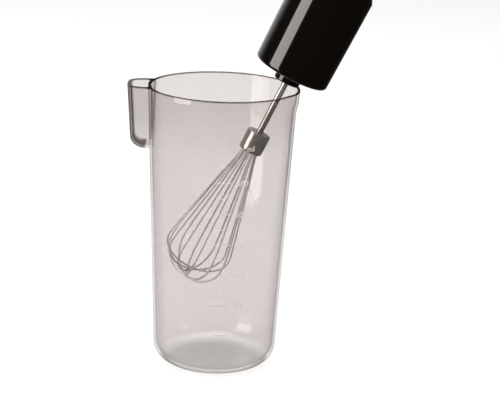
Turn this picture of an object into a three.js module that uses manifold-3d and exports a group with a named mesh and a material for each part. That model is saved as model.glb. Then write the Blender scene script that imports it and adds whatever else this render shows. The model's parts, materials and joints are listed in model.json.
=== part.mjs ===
// Immersion blender with a balloon whisk, standing in its blending beaker.
// Millimetres, +Z up. The origin is the centre of the beaker's flat base.
import * as THREE from "three";
import { mergeVertices } from "three/addons/utils/BufferGeometryUtils.js";
import Module from "manifold-3d";

const wasm = await Module();
wasm.setup();

const DEG = Math.PI / 180;
const GAP = 0.3; // clearance between pieces that touch
const OVERLAP = 0.01; // so that joined shapes of one piece share a volume

// ---- Driving dimensions -------------------------------------------------------------------------
const BEAKER = {
  height: 171.5,
  rimRadius: 44.6,
  baseRadius: 37.1,
  wall: 1.5,
  floor: 2.5,
  cornerRadius: 11.5,
};
const POCKET = {
  depth: 12,
  width: 27,
  height: 37.5,
  wall: 1.4,
  draft: 2.6,
  round: 6,
  corner: 9,
  root: 12, // how far the section runs on into the beaker's wall
};
const SPOUT = { stand: 2.2, height: 14, rimHalfAngle: 29, footHalfAngle: 17, blend: 12 };

// The blender leans towards +X about this point, the centre of the gear holder's lower face.
const LEAN = { angle: 24.7, x: 39.5, z: 180.9 };

// Along the blender's own axis, z = 0 is the gear holder's lower face and +z runs up the handset.
const HOLDER = {
  radius: 23,
  topRadius: 23.8,
  height: 58,
  lipRadius: 20.7,
  lipHeight: 64,
  wall: 2.2,
  edge: 2.5,
  bossRadius: 8,
  bossLength: 5.8,
  bossRound: 0.8,
  boreRadius: 6,
  boreTop: 10,
  seatRadius: 17, // the ring gear rests on this inner step
  seatLow: 12,
  seatHigh: 15,
};
const STEM = {
  radius: 2,
  top: 3.5,
  ferruleTop: -40.5,
  tipRadius: 1.2,
  flatDepth: 0.45,
  flatLength: 3.8,
};
const NECK = { radius: 1.4, low: STEM.top - 5.6, high: STEM.top - 4.4, slope: 0.4 };
const FERRULE = { radius: 7.3, length: 12.5, wall: 0.6, edge: 0.8, ceiling: 1 };
const WHISK = {
  loops: 6,
  wire: 0.6,
  legRadius: 4.6,
  fan: 13.2,
  maxRadius: 20.2,
  belly: -122,
  tip: -142,
  nest: 1.4,
  rootDepth: 5, // from the ferrule's top down to the wire ends
};
const PLUG = { boreRadius: 0.95, low: 0.4, high: 6, slack: 0.2 };
const GEAR = {
  module: 0.75,
  sun: 8,
  planet: 16,
  ring: 40,
  planets: 3,
  low: 16,
  high: 24,
  slack: 0.14,
};
const RING = { radius: 20, overhang: 0.5 };
const SUN = {
  shaftRadius: 2,
  shaftTop: 36,
  cupRadius: 7.5,
  cupTop: 50,
  socket: 4.6,
  socketLow: 38,
};
const PIN = { radius: 1.5, bore: 1.7, headRadius: 2.3, headHeight: 0.8, reach: 3.2 };
const CARRIER = {
  foot: -5,
  hubRadius: 3.9,
  hubTop: 10.4,
  plateRadius: 12.6,
  clipRadius: 3.2,
  clipRoom: 0.3,
  headroom: 0.4,
  pinHole: 1.8,
};
const CLIP = { inner: 2.1, outer: 3, height: 1, slot: 1 };
const COVER = {
  bore: 5.3,
  seat: 17,
  radius: 20.2,
  low: 25,
  face: 27,
  top: 29,
  hubRadius: 7.4,
  hubTop: 32.6,
};
const SCREW = {
  orbit: 17.9,
  radius: 0.9,
  bore: 1.3,
  foot: 19,
  headLow: 29.3,
  headRadius: 2,
  headTop: 30.6,
};
const OUTPUT_BUSH = { inner: 4.1, outer: 5.7, low: -1.8, high: 9.6 };
const SHAFT_SEAL = { inner: 4.2, outer: 5.7, low: -5.4, high: -2.2 };
const INPUT_BUSH = { inner: 2.2, outer: 5, low: 26.6, high: 32.6 };

const HANDSET = {
  foot: 65,
  capSeam: 215,
  top: 251,
  wall: 2.2,
  gripLow: 108,
  gripHigh: 176,
  gripDepth: 1.4,
};
const COLLAR = {
  inner: 13.6,
  outer: 16.6,
  low: 52,
  high: 72,
  flangeBore: 9,
  flangeLow: 68,
  flangeHigh: 71,
};
const INLET = {
  z: 226,
  radius: 4,
  bore: 2.4,
  flange: 6,
  inner: 17.6,
  outer: 34,
  wallLow: 20.4,
  wallHigh: 25.2,
};
const DIAL = {
  radius: 12.4,
  low: 245,
  skirt: 250.2,
  face: 248,
  bore: 2.5,
  notches: 12,
  notchRadius: 0.9,
};
const SPEED = { radius: 7, low: 232, high: 240, shaftRadius: 2.2, shaftTop: 247.5 };
const BUTTONS = {
  on: 190,
  turbo: 207,
  radius: 6.5,
  lip: 1.4,
  room: 0.5,
  face: -26.6,
  shoulder: -19.6,
  lipInside: -18.4,
  pinRadius: 2,
  pinInside: -17.6,
};
const SWITCH = { x: -14, depth: 3.6, width: 7, plungerRadius: 1.4, plungerFace: -16 };
const BOARD = { x: -11.1, z: 199, thickness: 1.6, width: 26, length: 36 };
const RELEASE = { z: 80, radius: 5, hole: 5.5, face: 22.4, back: 17.5, armY: 17.2 };
const ARM = { drop: 1, width: 6, thickness: 1.2, length: 11 };

const MOTOR = {
  low: 115,
  high: 145,
  statorRadius: 19.8,
  statorBore: 17.2,
  boreRadius: 12.7,
  poleHalfAngle: 32,
  armatureRadius: 12,
  shaftRadius: 2.5,
  shaftLow: 60,
  shaftHigh: 178,
};
const COIL = { inner: 13.2, outer: 16.8, halfAngle: 62, windowHalfAngle: 35, overhang: 4.5 };
const ARMATURE = {
  slots: 10,
  slotOrbit: 9.2,
  slotRadius: 1.6,
  wireRadius: 1.1,
  mouth: 0.9,
  endTurns: 6,
};
const WINDING = { inner: 3.4, outer: 10 };
const COMMUTATOR = { low: 157, high: 169, radius: 8, slit: 0.6, slitDepth: 0.6 };
const BRUSH = { width: 4, length: 7, height: 5.6, stand: 3.8 };
const BRUSH_BOX = {
  y: 13.4,
  width: 6.4,
  length: 6,
  height: 8,
  boreY: 12.6,
  boreWidth: 4.6,
  boreHeight: 6.2,
};
const FAN = {
  blades: 7,
  hubRadius: 5,
  low: 100,
  high: 107,
  discRadius: 16,
  bladeLength: 11.6,
  bladeHeight: 6.2,
};
const COUPLING = { flats: 4.2, low: 40.5, high: 60, hubRadius: 6.5, hubHigh: 66.5 };
const BEARING = { radius: 6, length: 4.4, lower: 86, upper: 173.6 };
const BRACKET = {
  bore: 6.3,
  hub: 9,
  plate: 2.4,
  lowerReach: 18.4,
  upperReach: 20,
  ventOrbit: 13,
  ventRadius: 3.2,
};

// ---- Materials ----------------------------------------------------------------------------------
const material = (color, roughness, metalness = 0) =>
  new THREE.MeshStandardMaterial({ color, roughness, metalness });
const CLEAR = material(0xd9d3d1, 0.08);
CLEAR.transparent = true;
CLEAR.opacity = 0.4;
const BLACK = material(0x0f0b08, 0.12);
const SOFT = material(0x1a1a1a, 0.75);
const GREY = material(0x55585c, 0.45);
const WHITE = material(0xe8e6e0, 0.5);
const STEEL = material(0xc4c6c8, 0.22, 1);
const BRONZE = material(0x9a7440, 0.45, 1);
const COPPER = material(0xa8602f, 0.35, 1);
const LAMINATION = material(0x6c6f73, 0.5, 1);
const CARBON = material(0x2a2a2c, 0.8);
const BOARD_GREEN = material(0x2f6b3c, 0.6);

// ---- Shape helpers ------------------------------------------------------------------------------
// A closed three.js geometry as a solid for joining and cutting.
function solid(geometry) {
  const bare = geometry.index ? geometry.toNonIndexed() : geometry.clone();
  bare.deleteAttribute("normal");
  bare.deleteAttribute("uv");
  const merged = mergeVertices(bare, 1e-4);
  const triVerts = new Uint32Array(merged.index.array);
  const vertProperties = merged.attributes.position.array;
  return new wasm.Manifold(new wasm.Mesh({ numProp: 3, vertProperties, triVerts }));
}

function geometryOf(shape) {
  const mesh = shape.getMesh();
  const geometry = new THREE.BufferGeometry();
  geometry.setAttribute("position", new THREE.BufferAttribute(mesh.vertProperties, 3));
  geometry.setIndex(new THREE.BufferAttribute(mesh.triVerts, 1));
  geometry.computeVertexNormals();
  return geometry;
}

const join = (first, ...others) => others.reduce((sum, other) => sum.add(other), first);
const cut = (first, ...others) => others.reduce((rest, other) => rest.subtract(other), first);

// A profile of [radius, z] points, anticlockwise in the r-z plane, turned about Z.
function turnedGeometry(profile, segments) {
  const points = profile.map(([r, z]) => new THREE.Vector2(r, z));
  const onAxis = profile[0][0] === 0 && profile[profile.length - 1][0] === 0;
  if (!onAxis) points.push(points[0].clone());
  return new THREE.LatheGeometry(points, segments).rotateX(Math.PI / 2);
}
const turned = (profile, segments = 32) => solid(turnedGeometry(profile, segments));

function disc(radius, low, high, segments = 20) {
  return turned([[0, low], [radius, low], [radius, high], [0, high]], segments);
}

function sleeve(inner, outer, low, high, segments = 24) {
  return turned([[inner, low], [outer, low], [outer, high], [inner, high]], segments);
}

function block(x, y, z, sizeX, sizeY, sizeZ) {
  return solid(new THREE.BoxGeometry(sizeX, sizeY, sizeZ).translate(x, y, z));
}

function extruded(shape, low, high, curveSegments = 6) {
  const options = { depth: high - low, bevelEnabled: false, curveSegments };
  return solid(new THREE.ExtrudeGeometry(shape, options).translate(0, 0, low));
}

// A slice of a ring between two radii, centred on a direction in degrees.
function sectorShape(inner, outer, direction, halfAngle) {
  const from = (direction - halfAngle) * DEG;
  const to = (direction + halfAngle) * DEG;
  const shape = new THREE.Shape();
  shape.absarc(0, 0, outer, from, to, false);
  shape.absarc(0, 0, inner, to, from, true);
  return shape;
}

// Points of an arc in the r-z plane, both ends included.
function arc(centreR, centreZ, radius, from, to, steps) {
  const points = [];
  for (let i = 0; i <= steps; i += 1) {
    const angle = (from + ((to - from) * i) / steps) * DEG;
    points.push([centreR + radius * Math.cos(angle), centreZ + radius * Math.sin(angle)]);
  }
  return points;
}

function polar(radius, degrees) {
  return [radius * Math.cos(degrees * DEG), radius * Math.sin(degrees * DEG)];
}

// ---- Assembly groups ----------------------------------------------------------------------------
const blender = new THREE.Group();
const leaning = new THREE.Group();
leaning.position.set(LEAN.x, 0, LEAN.z);
leaning.rotation.y = LEAN.angle * DEG;
blender.add(leaning);

function add(group, name, shape, look) {
  const mesh = new THREE.Mesh(geometryOf(shape), look);
  mesh.name = name;
  group.add(mesh);
}

// ---- Beaker -------------------------------------------------------------------------------------
const beakerRadius = (z) =>
  BEAKER.baseRadius + ((BEAKER.rimRadius - BEAKER.baseRadius) * z) / BEAKER.height;

// How far the spout pushes the wall outwards at a height and an angle from +X.
function spoutPush(z, degrees) {
  const rise = THREE.MathUtils.clamp((z - BEAKER.height + SPOUT.height) / SPOUT.height, 0, 1);
  const half = THREE.MathUtils.lerp(SPOUT.footHalfAngle, SPOUT.rimHalfAngle, rise);
  const across = THREE.MathUtils.clamp((half - Math.abs(degrees)) / SPOUT.blend, 0, 1);
  return SPOUT.stand * THREE.MathUtils.smoothstep(rise, 0, 0.45) * across * (0.7 + 0.3 * rise);
}

// The beaker's skin moved inwards by a wall, from its floor to the top.
function beakerSkin(wall, floor, top) {
  const corner = BEAKER.cornerRadius - wall;
  const side = beakerRadius(floor + corner) - wall;
  const profile = [[0, floor], ...arc(side - corner, floor + corner, corner, -90, 0, 4)];
  const levels = 3;
  for (let i = 0; i <= levels; i += 1) {
    const z = BEAKER.height - SPOUT.height + (SPOUT.height * i) / levels;
    profile.push([beakerRadius(z) - wall, z]);
  }
  if (top > BEAKER.height) profile.push([beakerRadius(BEAKER.height) - wall, top]);
  profile.push([0, top]);
  const geometry = turnedGeometry(profile, 40);
  const position = geometry.attributes.position;
  for (let i = 0; i < position.count; i += 1) {
    const [x, y, z] = [position.getX(i), position.getY(i), position.getZ(i)];
    const radius = Math.hypot(x, y);
    if (radius < BEAKER.baseRadius / 2) continue;
    const scale = 1 + spoutPush(z, Math.atan2(y, x) / DEG) / radius;
    position.setXY(i, x * scale, y * scale);
  }
  return solid(geometry);
}

// The pocket's body: a D-shaped section that narrows downwards and rounds in at its foot.
function pocketBody(inset, floor, top) {
  const halfWidth = POCKET.width / 2 - inset;
  const reach = POCKET.depth - inset;
  const corner = POCKET.corner - inset;
  const shape = new THREE.Shape();
  shape.moveTo(POCKET.root, -halfWidth);
  shape.lineTo(POCKET.root, halfWidth);
  shape.lineTo(-reach + corner, halfWidth);
  shape.absarc(-reach + corner, halfWidth - corner, corner, Math.PI / 2, Math.PI, false);
  shape.absarc(-reach + corner, -halfWidth + corner, corner, Math.PI, Math.PI * 1.5, false);
  const steps = 8;
  const options = { depth: 1, steps, bevelEnabled: false, curveSegments: 4 };
  const geometry = new THREE.ExtrudeGeometry(shape, options);
  const foot = BEAKER.height - POCKET.height + floor;
  const round = POCKET.round - inset / 2;
  const position = geometry.attributes.position;
  for (let i = 0; i < position.count; i += 1) {
    const rise = position.getZ(i) ** 2; // closer levels near the foot
    const z = foot + (top - foot) * rise;
    const climb = Math.min(1, (z - foot) / round);
    const shrink = round * (1 - Math.sqrt(climb * (2 - climb))) + POCKET.draft * (1 - rise);
    const x = position.getX(i);
    const y = position.getY(i);
    const moved = x < 0 ? x * (1 - shrink / reach) : x;
    position.setXYZ(i, moved - BEAKER.rimRadius, y * (1 - shrink / (2 * halfWidth)), z);
  }
  return solid(geometry);
}

function makeBeaker() {
  const over = BEAKER.height + 1;
  const outside = beakerSkin(0, 0, BEAKER.height);
  const inside = beakerSkin(BEAKER.wall, BEAKER.floor, over);
  const pocket = cut(pocketBody(0, 0, BEAKER.height), inside);
  const hollow = cut(pocketBody(POCKET.wall, POCKET.wall, over), outside);
  const body = cut(join(cut(outside, inside), pocket), hollow);
  add(blender, "beaker", body, CLEAR);
}

// ---- Whisk --------------------------------------------------------------------------------------
// One wire loop in its own plane: up one leg, round the tip and down the other.
function wireLoop(order) {
  const drop = order * WHISK.nest;
  const legTop = STEM.ferruleTop - WHISK.rootDepth;
  const mouth = STEM.ferruleTop - FERRULE.length;
  const belly = WHISK.belly - drop / 2;
  const tip = WHISK.tip + (WHISK.loops - 1) * WHISK.nest - drop;
  const half = [
    [WHISK.legRadius, legTop],
    [WHISK.legRadius, mouth - 0.5],
  ];
  for (const share of [0.3, 0.6, 0.85]) {
    const z = mouth + (belly - mouth) * share;
    half.push([WHISK.legRadius + (mouth - z) * Math.tan(WHISK.fan * DEG), z]);
  }
  for (let i = 0; i <= 5; i += 1) {
    const angle = (i * Math.PI) / 12;
    half.push([WHISK.maxRadius * Math.cos(angle), belly - (belly - tip) * Math.sin(angle)]);
  }
  const points = half.map(([r, z]) => new THREE.Vector3(r, 0, z));
  points.push(new THREE.Vector3(0, 0, tip));
  for (const [r, z] of half.reverse()) points.push(new THREE.Vector3(-r, 0, z));
  const path = new THREE.CatmullRomCurve3(points, false, "centripetal");
  const section = new THREE.Shape();
  for (let i = 0; i < 6; i += 1) {
    const [x, y] = polar(WHISK.wire, i * 60);
    if (i === 0) section.moveTo(x, y);
    else section.lineTo(x, y);
  }
  const geometry = new THREE.ExtrudeGeometry(section, { steps: 26, extrudePath: path });
  return solid(geometry.rotateZ((order * Math.PI) / WHISK.loops));
}

function makeFerrule() {
  const top = STEM.ferruleTop;
  const foot = top - FERRULE.length;
  const inner = FERRULE.radius - FERRULE.wall;
  const hole = STEM.radius + GAP / 2;
  const ceiling = top - FERRULE.ceiling;
  const ferrule = turned([
    [hole, top],
    [hole, ceiling],
    [inner, ceiling],
    [inner, foot],
    [FERRULE.radius, foot],
    [FERRULE.radius, top - FERRULE.edge],
    [FERRULE.radius - FERRULE.edge, top],
  ], 20);
  add(leaning, "whisk_ferrule", ferrule, STEEL);

  const plugLow = foot + PLUG.low;
  const plugHigh = top - PLUG.high;
  let plug = sleeve(hole, inner - PLUG.slack, plugLow, plugHigh, 16);
  for (let i = 0; i < WHISK.loops * 2; i += 1) {
    const [x, y] = polar(WHISK.legRadius, (i * 180) / WHISK.loops);
    plug = cut(plug, disc(PLUG.boreRadius, foot - 1, top, 5).translate(x, y, 0));
  }
  add(leaning, "whisk_plug", plug, GREY);
}

// The stem, with a neck for the spring clip and a flat at its upper end.
function makeStem() {
  const foot = STEM.ferruleTop - FERRULE.length + 2;
  const shoulder = STEM.top - 1;
  const stem = turned([
    [0, foot],
    [STEM.radius - NECK.slope, foot],
    [STEM.radius, foot + NECK.slope],
    [STEM.radius, NECK.low - NECK.slope],
    [NECK.radius, NECK.low],
    [NECK.radius, NECK.high],
    [STEM.radius, NECK.high + NECK.slope],
    [STEM.radius, shoulder],
    [STEM.tipRadius, STEM.top],
    [0, STEM.top],
  ], 16);
  const flatX = STEM.radius + 0.5 - STEM.flatDepth;
  const flat = block(flatX, 0, STEM.top - STEM.flatLength / 2, 1, 3 * STEM.radius, STEM.flatLength);
  add(leaning, "whisk_stem", cut(stem, flat), STEEL);
}

function makeWhisk() {
  makeFerrule();
  makeStem();
  for (let i = 0; i < WHISK.loops; i += 1) add(leaning, `wire_loop_${i + 1}`, wireLoop(i), STEEL);
}

// ---- Gears --------------------------------------------------------------------------------------
// Half the angle that an involute tooth covers at a radius, in degrees.
function toothHalfAngle(teeth, radius, slack) {
  const pitchRadius = (GEAR.module * teeth) / 2;
  const pressure = 20 * DEG;
  const baseRadius = pitchRadius * Math.cos(pressure);
  const flank = radius > baseRadius ? Math.acos(baseRadius / radius) : 0;
  const involute = (angle) => Math.tan(angle) - angle;
  const half = Math.PI / (2 * teeth) - slack / (2 * pitchRadius);
  return (half + involute(pressure) - involute(flank)) / DEG;
}

// A gear outline, its first tooth centred on a direction in degrees.
function gearShape(teeth, above, below, slack, direction) {
  const pitchRadius = (GEAR.module * teeth) / 2;
  const middle = teeth < GEAR.ring ? [pitchRadius + above * 0.2] : [];
  const radii = [pitchRadius - below, ...middle, pitchRadius + above];
  const flank = radii.map((radius) => [radius, toothHalfAngle(teeth, radius, slack)]);
  const points = [];
  for (let i = 0; i < teeth; i += 1) {
    const centre = direction + (i * 360) / teeth;
    for (const [radius, half] of flank) points.push(polar(radius, centre - half));
    for (const [radius, half] of flank.toReversed()) points.push(polar(radius, centre + half));
  }
  return new THREE.Shape(points.map(([x, y]) => new THREE.Vector2(x, y)));
}

const ADDENDUM = 0.55 * GEAR.module;
const DEDENDUM = 0.8 * GEAR.module;
const PLANET_ORBIT = (GEAR.module * (GEAR.sun + GEAR.planet)) / 2;

// The direction of a planet's first tooth, so that it meshes with a sun tooth centred on +X.
function planetPhase(position) {
  return position + 180 + (position * GEAR.sun) / GEAR.planet - 180 / GEAR.planet;
}

const screwPlaces = [60, 180, 300].map((direction) => polar(SCREW.orbit, direction));

function makeRingGear() {
  const low = GEAR.low - RING.overhang;
  const high = GEAR.high + RING.overhang;
  const ringPitch = 360 / GEAR.ring;
  const ringTooth = (planetPhase(0) * GEAR.planet) / GEAR.ring + ringPitch / 2;
  const spaces = gearShape(GEAR.ring, DEDENDUM, ADDENDUM, -GEAR.slack, ringTooth + ringPitch / 2);
  let ring = cut(disc(RING.radius, low, high, 32), extruded(spaces, low - 1, high + 1));
  for (const [x, y] of screwPlaces) {
    ring = cut(ring, disc(SCREW.bore, low - 1, high + 1, 10).translate(x, y, 0));
  }
  add(leaning, "ring_gear", ring, WHITE);
}

function makeSunGear() {
  const { low, high } = GEAR;
  const teeth = extruded(gearShape(GEAR.sun, ADDENDUM, DEDENDUM, GEAR.slack, 0), low, high);
  const shaft = disc(SUN.shaftRadius, high - OVERLAP, SUN.shaftTop, 20);
  const socket = hexagon(SUN.socket, SUN.socketLow, SUN.cupTop + 1);
  const cup = cut(disc(SUN.cupRadius, SUN.shaftTop, SUN.cupTop, 24), socket);
  add(leaning, "sun_gear", join(teeth, shaft, cup), WHITE);
}

function makePlanets() {
  const { low, high } = GEAR;
  const headLow = high + GAP;
  const headHigh = headLow + PIN.headHeight;
  for (let i = 0; i < GEAR.planets; i += 1) {
    const position = (i * 360) / GEAR.planets;
    const [x, y] = polar(PLANET_ORBIT, position);
    const outline = gearShape(GEAR.planet, ADDENDUM, DEDENDUM, GEAR.slack, planetPhase(position));
    const bore = new THREE.Path();
    bore.absarc(0, 0, PIN.bore, 0, Math.PI * 2, true);
    outline.holes.push(bore);
    add(leaning, `planet_gear_${i + 1}`, extruded(outline, low, high, 5).translate(x, y, 0), WHITE);
    const pin = turned([
      [0, low - PIN.reach],
      [PIN.radius, low - PIN.reach],
      [PIN.radius, headLow],
      [PIN.headRadius, headLow],
      [PIN.headRadius, headHigh],
      [0, headHigh],
    ], 12);
    add(leaning, `planet_pin_${i + 1}`, pin.translate(x, y, 0), STEEL);
  }
}

function hexagon(acrossFlats, low, high) {
  const radius = acrossFlats / Math.cos(30 * DEG);
  return disc(radius, low, high, 6);
}

// ---- Gear holder --------------------------------------------------------------------------------
function makeHousing() {
  const { radius, topRadius, height, lipRadius, lipHeight, wall, edge, bossRadius, bossLength } = HOLDER;
  const { bossRound, boreRadius, boreTop, seatRadius, seatLow, seatHigh } = HOLDER;
  const innerAt = (z) => radius + ((topRadius - radius) * z) / height - wall;
  const belowSeat = seatLow - 3;
  const housing = turned([
    [boreRadius, -bossLength],
    ...arc(bossRadius - bossRound, -bossLength + bossRound, bossRound, -90, 0, 2),
    [bossRadius, 0],
    ...arc(radius - edge, edge, edge, -90, 0, 3),
    [topRadius, height],
    [lipRadius, lipHeight],
    [lipRadius - wall, lipHeight],
    [innerAt(height), height - 1],
    [innerAt(seatHigh), seatHigh],
    [seatRadius, seatHigh],
    [seatRadius, seatLow],
    [innerAt(belowSeat), belowSeat],
    [innerAt(wall), wall + 1],
    [bossRadius, wall + 0.5],
    [bossRadius, boreTop],
    [boreRadius, boreTop],
  ], 32);
  add(leaning, "gear_holder_housing", housing, BLACK);
}

function addSleeve(name, { inner, outer, low, high }, look, segments) {
  add(leaning, name, sleeve(inner, outer, low, high, segments), look);
}

// The carrier holds the planets' pins above and the whisk's stem below.
function makeCarrier() {
  const socket = STEM.radius + GAP;
  const ceiling = STEM.top + CARRIER.headroom;
  const plateTop = GEAR.low - GAP;
  let carrier = turned([
    [socket, CARRIER.foot],
    [CARRIER.hubRadius, CARRIER.foot],
    [CARRIER.hubRadius, CARRIER.hubTop],
    [CARRIER.plateRadius, CARRIER.hubTop],
    [CARRIER.plateRadius, plateTop],
    [0, plateTop],
    [0, ceiling],
    [socket, ceiling],
    [socket, NECK.high + CARRIER.clipRoom],
    [CARRIER.clipRadius, NECK.high + CARRIER.clipRoom],
    [CARRIER.clipRadius, NECK.low - CARRIER.clipRoom],
    [socket, NECK.low - CARRIER.clipRoom],
  ], 24);
  for (let i = 0; i < GEAR.planets; i += 1) {
    const [x, y] = polar(PLANET_ORBIT, (i * 360) / GEAR.planets);
    const hole = disc(CARRIER.pinHole, CARRIER.hubTop + 0.6, plateTop + 1, 12);
    carrier = cut(carrier, hole.translate(x, y, 0));
  }
  add(leaning, "planet_carrier", carrier, GREY);

  const middle = (NECK.low + NECK.high) / 2;
  const ring = sleeve(CLIP.inner, CLIP.outer, middle - CLIP.height / 2, middle + CLIP.height / 2, 12);
  const slot = block(CLIP.outer, 0, middle, CLIP.outer, CLIP.slot, 2 * CLIP.height);
  add(leaning, "stem_clip", cut(ring, slot), STEEL);
}

function makeCover() {
  let cover = turned([
    [COVER.bore, COVER.face],
    [COVER.seat, COVER.face],
    [COVER.seat, COVER.low],
    [COVER.radius, COVER.low],
    [COVER.radius, COVER.top],
    [COVER.hubRadius, COVER.top],
    [COVER.hubRadius, COVER.hubTop],
    [COVER.bore, COVER.hubTop],
  ], 24);
  for (const [i, [x, y]] of screwPlaces.entries()) {
    cover = cut(cover, disc(SCREW.bore, COVER.low - 1, COVER.top + 1, 12).translate(x, y, 0));
    const screw = turned([
      [0, SCREW.foot],
      [SCREW.radius, SCREW.foot],
      [SCREW.radius, SCREW.headLow],
      [SCREW.headRadius, SCREW.headLow],
      [SCREW.headRadius, SCREW.headTop],
      [0, SCREW.headTop],
    ], 10);
    add(leaning, `cover_screw_${i + 1}`, screw.translate(x, y, 0), STEEL);
  }
  add(leaning, "gear_cover", cover, GREY);
}

function makeHolder() {
  makeHousing();
  addSleeve("output_bush", OUTPUT_BUSH, BRONZE, 20);
  addSleeve("shaft_seal", SHAFT_SEAL, SOFT, 20);
  addSleeve("input_bush", INPUT_BUSH, BRONZE, 16);
  makeCarrier();
  makeCover();
  makeRingGear();
  makeSunGear();
  makePlanets();
}

// ---- Handset casing -----------------------------------------------------------------------------
// The casing's outer radius along its length: a waist over the gear holder and a fuller grip.
const CASING = [
  [20.7, HANDSET.foot],
  [20.5, 72],
  [21.6, 88],
  [24.2, HANDSET.gripLow],
  [25.6, 135],
  [25.8, 155],
  [25.4, HANDSET.gripHigh],
  [25.2, 195],
  [24.8, HANDSET.capSeam],
];
const casingCurve = new THREE.SplineCurve(CASING.map(([r, z]) => new THREE.Vector2(r, z)));

// Stations along the casing between two heights, moved inwards by an inset.
function casingProfile(low, high, inset, steps) {
  const stations = casingCurve.getPoints(160);
  const profile = [];
  for (let i = 0; i <= steps; i += 1) {
    const z = low + ((high - low) * i) / steps;
    const near = stations.reduce((best, p) => (Math.abs(p.y - z) < Math.abs(best.y - z) ? p : best));
    profile.push([near.x - inset, z]);
  }
  return profile;
}

function makeCasing() {
  const { foot, capSeam, wall, gripLow, gripHigh, gripDepth } = HANDSET;
  const outer = [
    ...casingProfile(foot, gripLow - OVERLAP, 0, 4),
    ...casingProfile(gripLow, gripHigh, gripDepth, 4),
    ...casingProfile(gripHigh + OVERLAP, capSeam, 0, 2),
  ];
  const inner = [
    ...casingProfile(foot, gripLow - 4, wall, 3),
    ...casingProfile(gripLow - 2, gripHigh + 2, wall + gripDepth, 3),
    ...casingProfile(gripHigh + 4, capSeam, wall, 1),
  ].reverse();
  let shell = turned([...outer, ...inner], 28);
  for (const z of [BUTTONS.on, BUTTONS.turbo]) {
    shell = cut(shell, sideRod(BUTTONS.radius + BUTTONS.room, -30, -15, z, "x"));
  }
  for (const side of [-1, 1]) {
    shell = cut(shell, sideRod(RELEASE.hole, side * 25, side * 15, RELEASE.z, "y"));
  }
  add(leaning, "handset_casing", shell, BLACK);

  const low = gripLow + GAP;
  const high = gripHigh - GAP;
  const skin = casingProfile(low, high, 0, 4);
  const back = casingProfile(low, high, gripDepth - GAP, 4).reverse();
  add(leaning, "grip_sleeve", turned([...skin, ...back], 28), SOFT);
}

// The collar that carries the lower motor bearing and reaches down into the gear holder.
function makeCollar() {
  const { inner, outer, low, high, flangeBore, flangeLow, flangeHigh } = COLLAR;
  const tube = sleeve(inner, outer, low, high, 24);
  const flange = sleeve(flangeBore, outer - 0.4, flangeLow, flangeHigh, 24);
  add(leaning, "lower_collar", join(tube, flange), GREY);
}

function makeTopCap() {
  const seam = HANDSET.capSeam + GAP;
  const outer = [
    [24.8, seam],
    [24.4, 228],
    ...arc(15.5, 236, 8.4, 5, 85, 3),
    [13.5, 244.6],
  ];
  const inner = [
    [11, 244.6],
    [11, 242],
    [15, 242],
    [21.6, 233],
    [22.2, seam],
  ];
  const cap = turned([...outer, ...inner], 28);
  add(leaning, "top_cap", cut(cap, sideRod(INLET.radius + GAP, 15, 30, INLET.z, "x")), BLACK);

  const inlet = join(
    sideRod(INLET.radius, INLET.wallLow - OVERLAP, INLET.outer, INLET.z, "x"),
    sideRod(INLET.flange, INLET.wallHigh, INLET.wallHigh + 2.8, INLET.z, "x"),
    sideRod(INLET.flange, INLET.inner, INLET.wallLow, INLET.z, "x"),
  );
  const bore = sideRod(INLET.bore, INLET.inner - 5, INLET.outer + 5, INLET.z, "x");
  add(leaning, "cord_inlet", cut(inlet, bore), SOFT);
}

// A rod across the axis at a height, between two places along X or Y.
function sideRod(radius, from, to, z, along, segments = 12) {
  const rod = new THREE.CylinderGeometry(radius, radius, Math.abs(to - from), segments);
  const middle = (from + to) / 2;
  if (along === "x") rod.rotateZ(Math.PI / 2).translate(middle, 0, z);
  else rod.translate(0, middle, z);
  return solid(rod);
}

// ---- Controls -----------------------------------------------------------------------------------
function makeButtons() {
  const { radius, lip, face, shoulder, lipInside, pinRadius, pinInside } = BUTTONS;
  for (const name of ["on", "turbo"]) {
    const z = BUTTONS[name];
    const button = join(
      sideRod(radius, face, shoulder, z, "x", 14),
      sideRod(radius + lip, shoulder - 0.1, lipInside, z, "x", 14),
      sideRod(pinRadius, lipInside - 0.2, pinInside, z, "x", 12),
    );
    add(leaning, `${name}_button`, button, SOFT);
    const body = block(SWITCH.x, 0, z, SWITCH.depth, SWITCH.width, SWITCH.width);
    const plunger = sideRod(SWITCH.plungerRadius, SWITCH.plungerFace, SWITCH.x, z, "x", 10);
    add(leaning, `${name}_switch`, join(body, plunger), GREY);
  }
  const board = block(BOARD.x, 0, BOARD.z, BOARD.thickness, BOARD.width, BOARD.length);
  add(leaning, "circuit_board", board, BOARD_GREEN);
}

function makeReleaseButtons() {
  const sides = { left: -1, right: 1 };
  for (const [name, side] of Object.entries(sides)) {
    const pad = sideRod(RELEASE.radius, side * RELEASE.face, side * RELEASE.back, RELEASE.z, "y");
    const armZ = RELEASE.z - ARM.drop;
    const arm = block(0, side * RELEASE.armY, armZ, ARM.width, ARM.thickness, ARM.length);
    add(leaning, `release_button_${name}`, join(pad, arm), GREY);
  }
}

function makeSpeedDial() {
  const body = disc(SPEED.radius, SPEED.low, SPEED.high, 20);
  const shaft = disc(SPEED.shaftRadius, SPEED.high - 0.1, SPEED.shaftTop, 16);
  add(leaning, "speed_control", join(body, shaft), GREY);

  let dial = turned([
    [DIAL.bore, DIAL.low],
    [DIAL.radius, DIAL.low],
    [DIAL.radius, DIAL.skirt],
    [DIAL.radius - 1, HANDSET.top],
    [0, HANDSET.top],
    [0, DIAL.face],
    [DIAL.bore, DIAL.face],
  ], 24);
  for (let i = 0; i < DIAL.notches; i += 1) {
    const [x, y] = polar(DIAL.radius + 0.5, (i * 360) / DIAL.notches);
    const notch = disc(DIAL.notchRadius, DIAL.low - 1, HANDSET.top + 1, 4);
    dial = cut(dial, notch.translate(x, y, 0));
  }
  add(leaning, "speed_dial", dial, GREY);
}

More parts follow.
